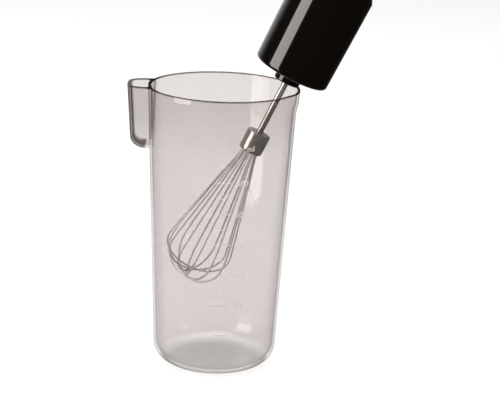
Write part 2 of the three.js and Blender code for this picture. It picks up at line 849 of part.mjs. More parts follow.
// ---- Motor --------------------------------------------------------------------------------------
function makeStator() {
  const { low, high, statorRadius, statorBore, boreRadius, poleHalfAngle } = MOTOR;
  let stator = sleeve(statorBore, statorRadius, low, high, 28);
  for (const direction of [90, 270]) {
    const pole = sectorShape(boreRadius, statorBore + 0.4, direction, poleHalfAngle);
    stator = join(stator, extruded(pole, low, high));
  }
  add(leaning, "stator_core", stator, LAMINATION);

  const directions = { front: 270, rear: 90 };
  for (const [name, direction] of Object.entries(directions)) {
    const section = sectorShape(COIL.inner, COIL.outer, direction, COIL.halfAngle);
    const bundle = extruded(section, low - COIL.overhang, high + COIL.overhang);
    const opening = sectorShape(COIL.inner - 1.2, COIL.outer + 1.2, direction, COIL.windowHalfAngle);
    const window = extruded(opening, low - 0.4, high + 0.4);
    add(leaning, `field_coil_${name}`, cut(bundle, window), COPPER);
  }
}

function makeArmature() {
  const { low, high, armatureRadius, shaftRadius } = MOTOR;
  const bore = shaftRadius + GAP;
  add(leaning, "armature_shaft", disc(shaftRadius, MOTOR.shaftLow, MOTOR.shaftHigh, 16), STEEL);

  let core = sleeve(bore, armatureRadius, low, high, 20);
  let winding = join(
    sleeve(WINDING.inner, WINDING.outer, low - ARMATURE.endTurns, low - 0.4, 12),
    sleeve(WINDING.inner, WINDING.outer, high + 0.4, high + ARMATURE.endTurns, 12),
  );
  for (let i = 0; i < ARMATURE.slots; i += 1) {
    const turn = (i * 360) / ARMATURE.slots;
    const [x, y] = polar(ARMATURE.slotOrbit, turn);
    const slot = disc(ARMATURE.slotRadius, low - 1, high + 1, 6).translate(x, y, 0);
    const mouth = block(armatureRadius - 1, 0, (low + high) / 2, 3, ARMATURE.mouth, high - low + 2);
    core = cut(core, slot, mouth.rotate([0, 0, turn]));
    winding = join(winding, disc(ARMATURE.wireRadius, low - 0.5, high + 0.5, 4).translate(x, y, 0));
  }
  add(leaning, "armature_core", core, LAMINATION);
  add(leaning, "armature_winding", winding, COPPER);

  let commutator = sleeve(bore, COMMUTATOR.radius, COMMUTATOR.low, COMMUTATOR.high, 20);
  const middle = (COMMUTATOR.low + COMMUTATOR.high) / 2;
  const tall = COMMUTATOR.high - COMMUTATOR.low + 2;
  for (let i = 0; i < ARMATURE.slots; i += 1) {
    const slit = block(COMMUTATOR.radius, 0, middle, 2 * COMMUTATOR.slitDepth, COMMUTATOR.slit, tall);
    commutator = cut(commutator, slit.rotate([0, 0, ((i + 0.5) * 360) / ARMATURE.slots]));
  }
  add(leaning, "commutator", commutator, COPPER);
}

function makeBrushes() {
  const z = (COMMUTATOR.low + COMMUTATOR.high) / 2;
  const sides = { front: -1, rear: 1 };
  for (const [name, side] of Object.entries(sides)) {
    const brushY = side * (COMMUTATOR.radius + BRUSH.stand);
    const brush = block(0, brushY, z, BRUSH.width, BRUSH.length, BRUSH.height);
    add(leaning, `brush_${name}`, brush, CARBON);
    const { width, length, height, boreWidth, boreHeight } = BRUSH_BOX;
    const outerBox = block(0, side * BRUSH_BOX.y, z, width, length, height);
    const innerBox = block(0, side * BRUSH_BOX.boreY, z, boreWidth, length + 0.2, boreHeight);
    add(leaning, `brush_holder_${name}`, cut(outerBox, innerBox), BRONZE);
  }
}

// The fan and the coupling that drives the gears, both on the motor's shaft.
function makeShaftFittings() {
  const bore = MOTOR.shaftRadius + GAP;
  const coupling = cut(
    join(
      hexagon(COUPLING.flats, COUPLING.low, COUPLING.high),
      disc(COUPLING.hubRadius, COUPLING.high - 0.5, COUPLING.hubHigh, 24),
    ),
    disc(bore, COUPLING.high - GAP, COUPLING.hubHigh + 1, 16),
  );
  add(leaning, "drive_coupling", coupling, WHITE);

  let fan = join(
    sleeve(bore, FAN.hubRadius, FAN.low, FAN.high, 14),
    sleeve(FAN.hubRadius - 0.2, FAN.discRadius, FAN.high - 1, FAN.high, 20),
  );
  const bladeX = FAN.hubRadius - 0.8 + FAN.bladeLength / 2;
  const bladeZ = FAN.high - 0.7 - FAN.bladeHeight / 2;
  for (let i = 0; i < FAN.blades; i += 1) {
    const blade = block(bladeX, 0, bladeZ, FAN.bladeLength, 1, FAN.bladeHeight);
    fan = join(fan, blade.rotate([0, 0, (i * 360) / FAN.blades]));
  }
  add(leaning, "cooling_fan", fan, WHITE);
}

function makeBearings() {
  const bore = MOTOR.shaftRadius + 0.05;
  for (const name of ["lower", "upper"]) {
    const z = BEARING[name];
    const top = z + BEARING.length;
    add(leaning, `${name}_bearing`, sleeve(bore, BEARING.radius, z, top, 16), STEEL);
    const hub = sleeve(BRACKET.bore, BRACKET.hub, z, top, 16);
    const reach = BRACKET[`${name}Reach`];
    const hole = disc(BRACKET.hub - 0.5, z - 1, z + BRACKET.plate + 0.6, 16);
    let bracket = join(hub, cut(disc(reach, z, z + BRACKET.plate, 24), hole));
    for (let i = 0; i < 3; i += 1) {
      const [x, y] = polar(BRACKET.ventOrbit, i * 120);
      bracket = cut(bracket, disc(BRACKET.ventRadius, z - 1, top, 8).translate(x, y, 0));
    }
    add(leaning, `motor_bracket_${name}`, bracket, GREY);
  }
}

makeBeaker();
makeWhisk();
makeHolder();
makeCasing();
makeCollar();
makeTopCap();
makeButtons();
makeReleaseButtons();
makeSpeedDial();
makeStator();
makeArmature();
makeBrushes();
makeShaftFittings();
makeBearings();

export default blender;
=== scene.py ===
"""Immersion blender with a balloon whisk in a clear blending beaker, dressed over the CAD frame.

Lengths below are millimetres along the blender's own axis unless a name says otherwise;
meshes are written in metres. Along that axis 0 is the gear holder's lower face.
"""

import json
import math

import bmesh
import bpy
from mathutils import Matrix, Vector


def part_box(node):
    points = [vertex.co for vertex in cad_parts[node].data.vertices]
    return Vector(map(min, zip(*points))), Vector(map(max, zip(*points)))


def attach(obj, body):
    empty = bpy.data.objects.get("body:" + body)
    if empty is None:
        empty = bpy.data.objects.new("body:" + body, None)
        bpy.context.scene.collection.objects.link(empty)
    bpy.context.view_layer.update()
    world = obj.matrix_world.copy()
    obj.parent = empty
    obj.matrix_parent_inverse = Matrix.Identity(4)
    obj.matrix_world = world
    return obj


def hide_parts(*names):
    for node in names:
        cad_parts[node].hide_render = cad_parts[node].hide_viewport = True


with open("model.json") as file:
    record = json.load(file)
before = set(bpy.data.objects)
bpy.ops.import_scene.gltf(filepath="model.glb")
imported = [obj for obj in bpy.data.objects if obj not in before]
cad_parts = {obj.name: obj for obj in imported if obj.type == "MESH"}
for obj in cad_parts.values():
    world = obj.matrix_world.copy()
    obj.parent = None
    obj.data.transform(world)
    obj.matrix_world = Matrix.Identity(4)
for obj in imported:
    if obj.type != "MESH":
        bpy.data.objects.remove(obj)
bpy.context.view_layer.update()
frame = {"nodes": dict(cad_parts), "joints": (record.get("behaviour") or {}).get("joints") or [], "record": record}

MM = 0.001

# ---- Driving dimensions --------------------------------------------------------------------------
BEAKER_WALL = 1.5
BEAKER_FLOOR = 2.5
BEAKER_BASE_RADIUS = 37.1
BEAKER_CORNER = 11.5
POCKET = {
    "depth": 12.0, "width": 27.0, "height": 37.5, "wall": 1.4,
    "draft": 2.6,  # how much less it reaches out at its foot
    "round": 6.0,  # the radius that it closes with below
    "corner": 9.0,
    "root": 1.2,  # how far it runs into the beaker's wall
}
SPOUT = {
    "stand": 1.3, "height": 14.0,
    "rim_half_angle": 29.0, "foot_half_angle": 17.0,
    "blend": 12.0,  # degrees over which it dies into the wall
}
SCALE = {
    "low": 28.0, "pitch": 19.0, "numbers": 6,
    "long": 9.0, "short": 5.0, "line": 0.5, "depth": 0.12, "gap": 0.02,
    "tick_x": -1.0, "number_x": 10.5,  # left ends, from the middle of the beaker's front
    "unit_x": 16.2, "unit_rise": 1.6,
    "letter": 3.6,
}

MOTOR_MIDDLE = 130.0  # where the armature's joint sits on the axis
HOLDER = {
    "radius": 23.0, "top_radius": 23.8, "height": 58.0, "wall": 2.2, "edge": 2.5,
    "lip_radius": 20.7, "lip_height": 64.0,
    "boss_radius": 8.0, "boss_length": 5.8,
    "bore_radius": 6.0, "bore_top": 10.0,
    "seat_radius": 17.0, "seat_low": 12.0, "seat_high": 15.0,
}
SEAL = {"inner": 4.2, "lip": 4.9, "outer": 5.75, "top": -2.2, "height": 3.2}
STEM_RADIUS = 2.0
STEM_TOP = 3.5
NECK = {"radius": 1.4, "low": STEM_TOP - 5.6, "high": STEM_TOP - 4.4, "slope": 0.4}
FERRULE_TOP = -40.5
FERRULE = {
    "radius": 7.3, "length": 12.5, "wall": 0.6,
    "taper": 0.35, "taper_height": 1.6,
    "stem_gap": 0.12,
}
WHISK = {
    "loops": 6,
    "wire": 0.6,  # the wire's radius
    "leg_radius": 4.6, "max_radius": 20.2,
    "fan": 13.2,  # degrees that the wires spread by
    "belly": -122.0, "tip": -142.0,
    "nest": 1.4,  # how much shorter each loop is than the next
}

CASING_FOOT = 65.0
GRIP_LOW = 108.0
GRIP_HIGH = 176.0
CAP_SEAM = 215.0
# Radius and height up the casing, from the collar to the seam under the top cap.
CASING = [
    (20.7, CASING_FOOT), (20.5, 72.0), (21.6, 88.0),
    (24.2, GRIP_LOW), (25.6, 135.0), (25.8, 155.0), (25.4, GRIP_HIGH),
    (25.2, 195.0), (24.8, CAP_SEAM),
]
CASING_WALL = 2.2
GRIP_DEPTH = 1.4
BUTTON_RADIUS = 6.5
BUTTON_REACH = 26.4
BUTTON_PLACES = {"on": 190.0, "turbo": 207.0}
RELEASE_PLACE = 80.0
INLET_PLACE = 226.0

beaker_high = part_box("beaker")[1]
BEAKER_HEIGHT = beaker_high.z / MM
RIM_RADIUS = beaker_high.y / MM


def leaning_matrix():
    """The blender's own frame, from the joint that its motor turns on."""
    joint = next(joint for joint in frame["joints"] if joint["name"] == "armature_spin")
    axis = Vector(joint["axis"]).normalized()
    side = Vector((0, 1, 0))
    front = side.cross(axis).normalized()
    turn = Matrix((front, side, axis)).transposed().to_4x4()
    origin = Vector(joint["pos_m"]) - axis * MOTOR_MIDDLE * MM
    return Matrix.Translation(origin) @ turn


LEAN = leaning_matrix()
UPRIGHT = Matrix.Identity(4)


# ---- Outline helpers -----------------------------------------------------------------------------
def filleted(points, steps=5):
    """An open outline of (r, z) or (r, z, fillet radius) points with its corners rounded."""
    flat = [Vector(p[:2]) for p in points]
    out = []
    for i, point in enumerate(points):
        radius = point[2] if len(point) > 2 else 0
        if not radius or i in (0, len(points) - 1):
            out.append(tuple(flat[i]))
            continue
        to_last = flat[i - 1] - flat[i]
        to_next = flat[i + 1] - flat[i]
        half = to_last.angle(to_next) / 2
        if half > math.radians(89):
            out.append(tuple(flat[i]))
            continue
        reach = min(radius / math.tan(half), 0.49 * to_last.length, 0.49 * to_next.length)
        bow = reach * math.tan(half)
        inwards = (to_last.normalized() + to_next.normalized()).normalized()
        centre = flat[i] + inwards * (bow / math.sin(half))
        start = flat[i] + to_last.normalized() * reach - centre
        end = flat[i] + to_next.normalized() * reach - centre
        sweep = start.angle_signed(end)
        for k in range(steps + 1):
            turn = Matrix.Rotation(-sweep * k / steps, 2)
            out.append(tuple(centre + turn @ start))
    return out


def arc(centre_r, centre_z, radius, start, end, steps):
    """Points of an arc in the r-z plane, angles in degrees, both ends included."""
    angles = [math.radians(start + (end - start) * i / steps) for i in range(steps + 1)]
    return [(centre_r + radius * math.cos(a), centre_z + radius * math.sin(a)) for a in angles]


def smooth_step(value):
    value = min(1.0, max(0.0, value))
    return value * value * (3 - 2 * value)


def catmull_rom(points, per_span=10):
    """A centripetal Catmull-Rom curve through points."""
    padded = [2 * points[0] - points[1], *points, 2 * points[-1] - points[-2]]
    out = []
    for a, b, c, d in zip(padded, padded[1:], padded[2:], padded[3:]):
        t0 = 0.0
        t1 = t0 + math.sqrt((b - a).length)
        t2 = t1 + math.sqrt((c - b).length)
        t3 = t2 + math.sqrt((d - c).length)
        for k in range(per_span):
            t = t1 + (t2 - t1) * k / per_span
            ab = a * ((t1 - t) / (t1 - t0)) + b * ((t - t0) / (t1 - t0))
            bc = b * ((t2 - t) / (t2 - t1)) + c * ((t - t1) / (t2 - t1))
            cd = c * ((t3 - t) / (t3 - t2)) + d * ((t - t2) / (t3 - t2))
            abc = ab * ((t2 - t) / (t2 - t0)) + bc * ((t - t0) / (t2 - t0))
            bcd = bc * ((t3 - t) / (t3 - t1)) + cd * ((t - t1) / (t3 - t1))
            out.append(abc * ((t2 - t) / (t2 - t1)) + bcd * ((t - t1) / (t2 - t1)))
    out.append(points[-1].copy())
    return out


# ---- Mesh helpers --------------------------------------------------------------------------------
def turned_mesh(profile, segments=96, shape=None):
    """A bmesh of an (r, z) profile turned about Z. shape moves a point (x, y, z) in millimetres."""
    bm = bmesh.new()
    on_axis = profile[0][0] < 1e-6 and profile[-1][0] < 1e-6
    rings = []
    for r, z in profile:
        if r < 1e-6:
            rings.append([bm.verts.new((0, 0, z * MM))])
            continue
        ring = []
        for k in range(segments):
            angle = 2 * math.pi * k / segments
            spot = (r * math.cos(angle), r * math.sin(angle), z)
            if shape:
                spot = shape(*spot)
            ring.append(bm.verts.new(Vector(spot) * MM))
        rings.append(ring)
    pairs = list(zip(rings, rings[1:]))
    if not on_axis:
        pairs.append((rings[-1], rings[0]))
    for low, high in pairs:
        for k in range(segments):
            n = (k + 1) % segments
            corners = [low[k % len(low)], low[n % len(low)], high[n % len(high)], high[k % len(high)]]
            face = list(dict.fromkeys(corners))
            if len(face) > 2:
                bm.faces.new(face)
    bmesh.ops.recalc_face_normals(bm, faces=bm.faces)
    return bm


def tube_mesh(path, radius, sides=12):
    """A closed round tube along points in metres."""
    bm = bmesh.new()
    tangent = (path[1] - path[0]).normalized()
    normal = tangent.orthogonal().normalized()
    rings = []
    for i, point in enumerate(path):
        ahead = path[min(i + 1, len(path) - 1)] - path[max(i - 1, 0)]
        turn = tangent.rotation_difference(ahead.normalized())
        tangent = ahead.normalized()
        normal = (turn @ normal).normalized()
        side = tangent.cross(normal)
        ring = []
        for k in range(sides):
            angle = 2 * math.pi * k / sides
            outwards = normal * math.cos(angle) + side * math.sin(angle)
            ring.append(bm.verts.new(point + outwards * radius))
        rings.append(ring)
    for low, high in zip(rings, rings[1:]):
        for k in range(sides):
            n = (k + 1) % sides
            bm.faces.new((low[k], low[n], high[n], high[k]))
    bm.faces.new(rings[0])
    bm.faces.new(rings[-1])
    bmesh.ops.recalc_face_normals(bm, faces=bm.faces)
    return bm


def block_mesh(centre, size, bevel=0.3):
    """A block with rounded edges, in millimetres."""
    bm = bmesh.new()
    bmesh.ops.create_cube(bm, size=1)
    bmesh.ops.scale(bm, vec=Vector(size) * MM, verts=bm.verts)
    bmesh.ops.translate(bm, vec=Vector(centre) * MM, verts=bm.verts)
    bmesh.ops.bevel(bm, geom=bm.edges[:], offset=bevel * MM, segments=3, affect="EDGES", profile=0.5)
    return bm


def absorb(bm, other):
    """Adds another bmesh to bm as a separate shell, and frees the other."""
    mesh = bpy.data.meshes.new("shell")
    other.to_mesh(mesh)
    other.free()
    bm.from_mesh(mesh)
    bpy.data.meshes.remove(mesh)


def as_object(name, bm, matrix=LEAN, sharp=35):
    mesh = bpy.data.meshes.new(name)
    bm.to_mesh(mesh)
    bm.free()
    mesh.shade_smooth()
    mesh.set_sharp_from_angle(angle=math.radians(sharp))
    obj = bpy.data.objects.new(name, mesh)
    obj.matrix_world = matrix
    bpy.context.scene.collection.objects.link(obj)
    return obj


def piece(obj, body, slot, material, *nodes):
    """Finishes an object of the part: its material, the body it rides on and the nodes it stands for."""
    obj.data.materials.clear()
    obj.data.materials.append(material)
    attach(obj, body)
    if nodes:
        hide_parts(*nodes)


def boolean(obj, other, operation, sharp=35):
    """Joins or cuts obj by other, shades it again, and throws the other away."""
    bpy.context.view_layer.update()
    modifier = obj.modifiers.new("cut", "BOOLEAN")
    modifier.operation = operation
    modifier.solver = "EXACT"
    modifier.object = other
    graph = bpy.context.evaluated_depsgraph_get()
    mesh = bpy.data.meshes.new_from_object(obj.evaluated_get(graph))
    mesh.shade_smooth()
    mesh.set_sharp_from_angle(angle=math.radians(sharp))
    obj.modifiers.clear()
    obj.data = mesh
    bpy.data.objects.remove(other)


def along_x(bm, z):
    """Turns a mesh made about Z so that its axis is -X, at a height on the blender's axis."""
    bmesh.ops.rotate(bm, matrix=Matrix.Rotation(-math.pi / 2, 3, "Y"), verts=bm.verts)
    bmesh.ops.translate(bm, vec=(0, 0, z * MM), verts=bm.verts)
    return bm


def along_y(bm, z, side):
    """Turns a mesh made about Z so that its axis is +Y or -Y, at a height on the blender's axis."""
    bmesh.ops.rotate(bm, matrix=Matrix.Rotation(-side * math.pi / 2, 3, "X"), verts=bm.verts)
    bmesh.ops.translate(bm, vec=(0, 0, z * MM), verts=bm.verts)
    return bm


# ---- Material helpers ----------------------------------------------------------------------------
class Look:
    """A material with a Principled shader and the object's own coordinates."""

    def __init__(self, name, **values):
        self.material = bpy.data.materials.new(name)
        self.material.use_nodes = True
        self.nodes = self.material.node_tree.nodes
        self.links = self.material.node_tree.links
        self.shader = self.nodes["Principled BSDF"]
        self.output = self.nodes["Material Output"]
        self.place = self.nodes.new("ShaderNodeTexCoord").outputs["Object"]
        for key, value in values.items():
            self.shader.inputs[key.replace("_", " ")].default_value = value

    def stretched(self, x, y, z):
        node = self.nodes.new("ShaderNodeMapping")
        node.inputs["Scale"].default_value = (x, y, z)
        self.links.new(self.place, node.inputs["Vector"])
        return node.outputs["Vector"]

    def noise(self, scale, detail=3.0, place=None, roughness=0.5):
        node = self.nodes.new("ShaderNodeTexNoise")
        node.inputs["Scale"].default_value = scale
        node.inputs["Detail"].default_value = detail
        node.inputs["Roughness"].default_value = roughness
        self.links.new(place or self.place, node.inputs["Vector"])
        return node.outputs["Fac"]

    def wave(self, scale, direction, distortion=0.0):
        node = self.nodes.new("ShaderNodeTexWave")
        node.bands_direction = direction
        node.inputs["Scale"].default_value = scale
        node.inputs["Distortion"].default_value = distortion
        self.links.new(self.place, node.inputs["Vector"])
        return node.outputs["Fac"]

    def ramp(self, source, low, high, start=0.3, end=0.7, course="LINEAR"):
        node = self.nodes.new("ShaderNodeMapRange")
        node.interpolation_type = course
        node.inputs["From Min"].default_value = start
        node.inputs["From Max"].default_value = end
        node.inputs["To Min"].default_value = low
        node.inputs["To Max"].default_value = high
        self.links.new(source, node.inputs["Value"])
        return node.outputs["Result"]

    def rising(self, source, start, end):
        """0 below start and 1 above end, for a place in millimetres."""
        return self.ramp(source, 0.0, 1.0, start * MM, end * MM)

    def falling(self, source, start, end):
        """1 below start and 0 above end, for a place in millimetres."""
        return self.ramp(source, 1.0, 0.0, start * MM, end * MM)

    def blend(self, source, first, second):
        node = self.nodes.new("ShaderNodeMix")
        node.data_type = "RGBA"
        node.inputs["A"].default_value = (*first, 1)
        node.inputs["B"].default_value = (*second, 1)
        self.links.new(source, node.inputs["Factor"])
        return node.outputs["Result"]

    def tinted(self, share, colour, tint):
        """A colour multiplied by a tint, as far as the share says."""
        node = self.nodes.new("ShaderNodeMix")
        node.data_type = "RGBA"
        node.blend_type = "MULTIPLY"
        node.inputs["B"].default_value = (*tint, 1)
        self.links.new(share, node.inputs["Factor"])
        self.links.new(colour, node.inputs["A"])
        return node.outputs["Result"]

    def maths(self, operation, *sources):
        node = self.nodes.new("ShaderNodeMath")
        node.operation = operation
        for source, socket in zip(sources, node.inputs):
            self.links.new(source, socket)
        return node.outputs["Value"]

    def product(self, first, second):
        return self.maths("MULTIPLY", first, second)

    def see_through(self):
        return self.nodes.new("ShaderNodeBsdfTransparent")

    def mixed(self, share, first, second):
        node = self.nodes.new("ShaderNodeMixShader")
        self.links.new(share, node.inputs["Fac"])
        self.links.new(first.outputs[0], node.inputs[1])
        self.links.new(second.outputs[0], node.inputs[2])
        return node

    def colour(self, socket):
        self.links.new(socket, self.shader.inputs["Base Color"])

    def rough(self, socket):
        self.links.new(socket, self.shader.inputs["Roughness"])

    def bump(self, height, strength, distance_mm):
        node = self.nodes.new("ShaderNodeBump")
        node.inputs["Strength"].default_value = strength
        node.inputs["Distance"].default_value = distance_mm * MM
        last = self.shader.inputs["Normal"]
        if last.is_linked:
            self.links.new(last.links[0].from_socket, node.inputs["Normal"])
        self.links.new(height, node.inputs["Height"])
        self.links.new(node.outputs["Normal"], last)


def wall_tint_and_shade(look, place, facing):
    """The colour of the beaker's wall, and the share of it that is the rim's dark left and right ends.

    It is darker towards the top. Painted shade darkens it where the wall is seen at a slant: along
    the rim and its ends, the seam beside the pocket, the pocket's corners and the line round the bottom.
    """
    x = place.outputs["X"]
    z = place.outputs["Z"]
    body_side = -RIM_RADIUS  # where the pocket starts
    upper = look.rising(z, 135.0, 150.0)
    base = look.falling(z, 2.6, 4.5)
    # Painted shade: dark lines along the bottom, beside the pocket, at the wall's slanted edges, at the pocket's
    # corners and along the rim, near black at the rim's ends. They stand in for the dark surroundings that a thick
    # clear wall bends into view.
    foot = look.product(look.falling(z, 1.2, 3.0), look.ramp(facing, 0.0, 1.0, 0.60, 0.78))
    seam = look.product(look.rising(x, -42.5, -41.8), look.falling(x, -41.3, -40.5))
    seam = look.product(seam, look.rising(z, 134.0, 145.0))
    edge = look.ramp(facing, 0.0, 1.0, 0.72, 1.0)
    edge = look.product(edge, look.ramp(z, 0.3, 1.0, 0.085, 0.125))
    beside = look.falling(x, body_side - 1.2, body_side)
    corner = look.product(beside, look.ramp(facing, 0.0, 1.0, 0.45, 0.75))
    rim = look.rising(z, BEAKER_HEIGHT - 1.1, BEAKER_HEIGHT - 0.5)
    sideways = look.rising(look.maths("ABSOLUTE", x), 34.0, 43.0)
    round_body = look.rising(x, body_side - 1.2, body_side)
    rim_end_shade = look.product(rim, look.product(sideways, round_body))
    tint = look.blend(upper, (0.906, 0.889, 0.884), (0.874, 0.857, 0.852))
    for share, colour in (
        (base, (1.09, 1.11, 1.115)),
        (foot, (0.38, 0.37, 0.36)),
        (seam, (0.66, 0.63, 0.61)),
        (edge, (0.62, 0.62, 0.60)),
        (corner, (0.36, 0.32, 0.30)),
        (rim, (0.42, 0.36, 0.34)),
        (rim_end_shade, (0.04, 0.03, 0.03)),
    ):
        tint = look.tinted(share, tint, colour)
    return tint, rim_end_shade


def clear_plastic():
    """Smoky clear moulding: a see-through tinted wall under a mirror-like skin."""
    look = Look("clear_plastic", Metallic=1.0)
    look.colour(look.blend(look.noise(14, 2), (0.92, 0.915, 0.91), (1.0, 0.995, 0.99)))
    scuffs = look.noise(260, 5, look.stretched(1, 1, 0.25), 0.7)
    look.rough(look.ramp(scuffs, 0.02, 0.09, 0.45, 0.8))
    look.bump(look.noise(22, 2), 0.06, 0.15)
    place = look.nodes.new("ShaderNodeSeparateXYZ")
    look.links.new(look.place, place.inputs["Vector"])
    slant = look.nodes.new("ShaderNodeLayerWeight")
    slant.inputs["Blend"].default_value = 0.5
    facing = slant.outputs["Facing"]
    # The wall's colour carries painted shade at its slanted edges, the rim and its ends, the seam beside the
    # pocket and the bottom.
    tint, rim_end_shade = wall_tint_and_shade(look, place, facing)
    wall = look.see_through()
    look.links.new(tint, wall.inputs["Color"])
    skin = look.ramp(facing, 0.04, 0.24, 0.4, 1.0, "SMOOTHSTEP")
    # Less of the mirror-like skin at the rim's ends, so that their painted shade stays dark.
    skin = look.product(skin, look.ramp(rim_end_shade, 1.0, 0.1, 0.0, 0.5))
    body = look.mixed(skin, wall, look.shader)
    shade = look.see_through()  # what lamps shine through, so that the wall throws a faint shadow
    shade.inputs["Color"].default_value = (0.985, 0.983, 0.98, 1)
    rays = look.nodes.new("ShaderNodeLightPath")
    both = look.mixed(rays.outputs["Is Shadow Ray"], body, shade)
    look.links.new(both.outputs["Shader"], look.output.inputs["Surface"])
    return look.material


def black_gloss():
    look = Look("black_gloss", Coat_Weight=0.4, Coat_Roughness=0.03, IOR=1.5)
    look.colour(look.blend(look.noise(40, 3), (0.0030, 0.0021, 0.0015), (0.0048, 0.0036, 0.0028)))
    scratches = look.noise(90, 6, look.stretched(1, 1, 14), 0.7)
    look.rough(look.ramp(scratches, 0.05, 0.13, 0.35, 0.75))
    look.bump(look.noise(420, 2), 0.05, 0.03)
    return look.material


def soft_rubber():
    look = Look("soft_rubber", IOR=1.45, Sheen_Weight=0.15, Sheen_Roughness=0.6)
    look.colour(look.blend(look.noise(70, 5), (0.014, 0.014, 0.015), (0.026, 0.026, 0.027)))
    look.rough(look.ramp(look.noise(160, 4), 0.55, 0.78))
    look.bump(look.noise(2600, 2), 0.35, 0.08)
    return look.material


def grey_plastic():
    look = Look("grey_plastic", IOR=1.47)
    look.colour(look.blend(look.noise(50, 4), (0.085, 0.088, 0.092), (0.115, 0.118, 0.122)))
    look.rough(look.ramp(look.noise(220, 3), 0.34, 0.5))
    look.bump(look.noise(1800, 2), 0.18, 0.05)
    return look.material


def white_acetal():
    look = Look("white_acetal", IOR=1.48, Subsurface_Weight=0.08, Subsurface_Scale=0.002)
    look.colour(look.blend(look.noise(60, 4), (0.76, 0.75, 0.70), (0.84, 0.83, 0.79)))
    look.rough(look.ramp(look.noise(200, 3), 0.32, 0.46))
    look.bump(look.noise(1500, 2), 0.1, 0.04)
    return look.material


def polished_steel():
    look = Look("polished_steel", Metallic=0.74)
    look.colour(look.blend(look.noise(30, 3), (0.50, 0.47, 0.44), (0.60, 0.57, 0.55)))
    lines = look.noise(500, 4, look.stretched(1, 1, 0.06), 0.6)
    look.rough(look.ramp(lines, 0.14, 0.24))
    look.bump(lines, 0.04, 0.02)
    return look.material


def bright_wire():
    look = Look("bright_wire", Metallic=0.5)
    look.colour(look.blend(look.noise(60, 3), (0.66, 0.64, 0.62), (0.78, 0.76, 0.75)))
    drawn = look.noise(700, 4, look.stretched(1, 1, 0.1), 0.6)
    look.rough(look.ramp(drawn, 0.18, 0.30))
    look.bump(drawn, 0.05, 0.02)
    return look.material


def plain_steel():
    look = Look("plain_steel", Metallic=1.0)
    look.colour(look.blend(look.noise(120, 4), (0.46, 0.47, 0.48), (0.60, 0.61, 0.62)))
    look.rough(look.ramp(look.noise(700, 3, look.stretched(1, 1, 8)), 0.24, 0.38))
    look.bump(look.noise(900, 3, look.stretched(1, 1, 10)), 0.12, 0.02)
    return look.material


def bronze():
    look = Look("bronze", Metallic=1.0)
    look.colour(look.blend(look.noise(400, 5), (0.36, 0.22, 0.09), (0.55, 0.37, 0.17)))
    look.rough(look.ramp(look.noise(900, 3), 0.35, 0.55))
    look.bump(look.noise(2400, 2), 0.3, 0.04)
    return look.material


def copper():
    look = Look("copper", Metallic=1.0, Coat_Weight=0.5, Coat_Roughness=0.2)
    turns = look.wave(420, "Z", 1.5)
    # The dark bands between the turns are painted shade in the grooves between the wires.
    look.colour(look.blend(turns, (0.30, 0.10, 0.035), (0.68, 0.30, 0.13)))
    look.rough(look.ramp(look.noise(300, 3), 0.25, 0.4))
    look.bump(turns, 0.8, 0.2)
    return look.material


def lamination():
    look = Look("lamination", Metallic=1.0)
    sheets = look.wave(620, "Z", 0.3)
    look.colour(look.blend(sheets, (0.13, 0.13, 0.135), (0.34, 0.34, 0.35)))
    look.rough(look.ramp(look.noise(400, 3), 0.4, 0.6))
    look.bump(sheets, 0.5, 0.1)
    return look.material


def carbon():
    look = Look("carbon", IOR=1.6)
    look.colour(look.blend(look.noise(900, 5), (0.018, 0.018, 0.019), (0.05, 0.05, 0.052)))
    look.rough(look.ramp(look.noise(500, 3), 0.6, 0.8))
    look.bump(look.noise(1600, 3), 0.4, 0.05)
    return look.material


def board():
    look = Look("board", IOR=1.5, Coat_Weight=0.4, Coat_Roughness=0.15)
    traces = look.wave(160, "Y", 6)
    look.colour(look.blend(traces, (0.02, 0.11, 0.04), (0.05, 0.20, 0.08)))
    look.rough(look.ramp(look.noise(300, 3), 0.3, 0.45))
    look.bump(traces, 0.3, 0.05)
    return look.material


def print_ink(name, first, second):
    """Pad-printed ink, with the slight unevenness of a print."""
    look = Look(name, IOR=1.45)
    look.colour(look.blend(look.noise(800, 4), first, second))
    look.rough(look.ramp(look.noise(600, 3), 0.4, 0.6))
    look.bump(look.noise(3000, 2), 0.2, 0.02)
    return look.material


LOOKS = {
    "clear_plastic": clear_plastic(),
    "black_gloss": black_gloss(),
    "soft_black": soft_rubber(),
    "grey_plastic": grey_plastic(),
    "white_acetal": white_acetal(),
    "polished_steel": polished_steel(),
    "bright_wire": bright_wire(),
    "plain_steel": plain_steel(),
    "bronze": bronze(),
    "copper": copper(),
    "lamination": lamination(),
    "carbon": carbon(),
    "board": board(),
}


# ---- Beaker --------------------------------------------------------------------------------------
def beaker_radius(z):
    return BEAKER_BASE_RADIUS + (RIM_RADIUS - BEAKER_BASE_RADIUS) * z / BEAKER_HEIGHT


def spout_push(x, y, z):
    """Moves a point of the beaker's wall outwards where the pouring spout is."""
    radius = math.hypot(x, y)
    if radius < BEAKER_BASE_RADIUS / 2:
        return x, y, z
    rise = min(1.0, max(0.0, (z - BEAKER_HEIGHT + SPOUT["height"]) / SPOUT["height"]))
    half = SPOUT["foot_half_angle"] + (SPOUT["rim_half_angle"] - SPOUT["foot_half_angle"]) * rise
    across = smooth_step((half - abs(math.degrees(math.atan2(y, x)))) / SPOUT["blend"])
    push = SPOUT["stand"] * smooth_step(rise / 0.45) * across * (0.7 + 0.3 * rise)
    scale = 1 + push / radius
    return x * scale, y * scale, z


def beaker_skin(wall, floor):
    """The wall from the middle of the floor to just under the rim, moved inwards by a wall."""
    corner = BEAKER_CORNER - wall
    side = beaker_radius(floor + corner) - wall
    profile = [(0, floor), (side - corner - 8, floor)]
    profile += arc(side - corner, floor + corner, corner, -90, 0, 14)
    steps = 46
    low, high = floor + corner, BEAKER_HEIGHT - BEAKER_WALL / 2
    for i in range(1, steps + 1):
        z = low + (high - low) * i / steps
        profile.append((beaker_radius(z) - wall, z))
    return profile


